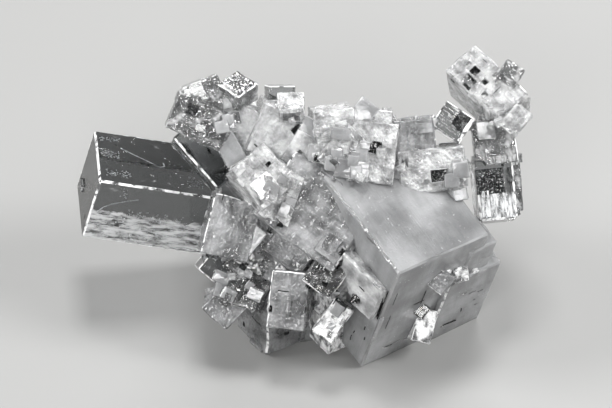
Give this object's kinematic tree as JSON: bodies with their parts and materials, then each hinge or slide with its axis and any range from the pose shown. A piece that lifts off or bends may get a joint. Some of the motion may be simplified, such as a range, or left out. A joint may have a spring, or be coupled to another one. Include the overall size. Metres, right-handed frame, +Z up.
{
  "type": "halite crystal cluster",
  "caption": "Cluster of clear and milky cubic salt crystals grown into each other, with a large block, a long bar and a tower of small cubes, cut off flat to stand.",
  "frame": {"origin": "middle of the bounding box in plan, on the flat cut base", "axes": "+X along the longest extent, towards the tower of cubes; -Y is the front, where the large block stands out; +Z up"},
  "size_m": [0.0684, 0.038, 0.0401],
  "materials": {
    "halite": "clear to milky cubic crystal faces with narrow worn edges"
  },
  "bodies": {
    "root": {"halite_cluster": "halite"}
  },
  "joints": []
}
